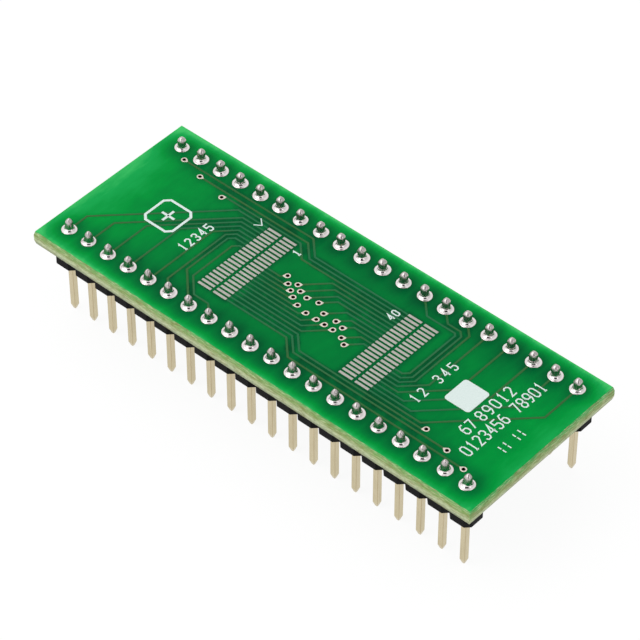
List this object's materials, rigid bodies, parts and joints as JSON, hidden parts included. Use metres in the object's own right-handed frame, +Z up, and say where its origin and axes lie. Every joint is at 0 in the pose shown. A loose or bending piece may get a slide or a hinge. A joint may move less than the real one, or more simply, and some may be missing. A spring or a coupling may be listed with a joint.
{
  "type": "ic socket adapter",
  "caption": "Circuit board adapter with fine-pitch lands for a surface-mount chip on top and rows of square pins beneath that plug into a dual-in-line socket.",
  "frame": {"origin": "middle of the board's length and width, level with the tips of the pins", "axes": "+X along the rows of pins, from the pin 1 end to the pin 20 end; +Y across the board, from pins 1 to 20 towards pins 21 to 40; +Z up, out of the chip face"},
  "size_m": [0.053, 0.02, 0.0116],
  "materials": {
    "green_board": "glass-epoxy board with glossy green solder mask on both faces and bare pale edges",
    "black_strip": "moulded black glass-filled plastic, fine satin",
    "plated_pin": "drawn square wire with a pale gold flash",
    "bright_solder": "bright, smooth, concave tin solder",
    "tinned_land": "levelled tin over copper, satin",
    "copper_track": "etched copper seen through the green solder mask"
  },
  "bodies": {
    "root": {"circuit_board": "green_board", "header_strip_near": "black_strip", "header_strip_far": "black_strip", "solder_joints_near": "bright_solder", "solder_joints_far": "bright_solder", "chip_lands_left": "tinned_land", "chip_lands_right": "tinned_land", "via_barrels": "tinned_land", "tracks_top": "copper_track", "tracks_underside": "copper_track", "pin_01": "plated_pin", "pin_02": "plated_pin", "pin_03": "plated_pin", "pin_04": "plated_pin", "pin_05": "plated_pin", "pin_06": "plated_pin", "pin_07": "plated_pin", "pin_08": "plated_pin", "pin_09": "plated_pin", "pin_10": "plated_pin", "pin_11": "plated_pin", "pin_12": "plated_pin", "pin_13": "plated_pin", "pin_14": "plated_pin", "pin_15": "plated_pin", "pin_16": "plated_pin", "pin_17": "plated_pin", "pin_18": "plated_pin", "pin_19": "plated_pin", "pin_20": "plated_pin", "pin_21": "plated_pin", "pin_22": "plated_pin", "pin_23": "plated_pin", "pin_24": "plated_pin", "pin_25": "plated_pin", "pin_26": "plated_pin", "pin_27": "plated_pin", "pin_28": "plated_pin", "pin_29": "plated_pin", "pin_30": "plated_pin", "pin_31": "plated_pin", "pin_32": "plated_pin", "pin_33": "plated_pin", "pin_34": "plated_pin", "pin_35": "plated_pin", "pin_36": "plated_pin", "pin_37": "plated_pin", "pin_38": "plated_pin", "pin_39": "plated_pin", "pin_40": "plated_pin"}
  },
  "joints": []
}
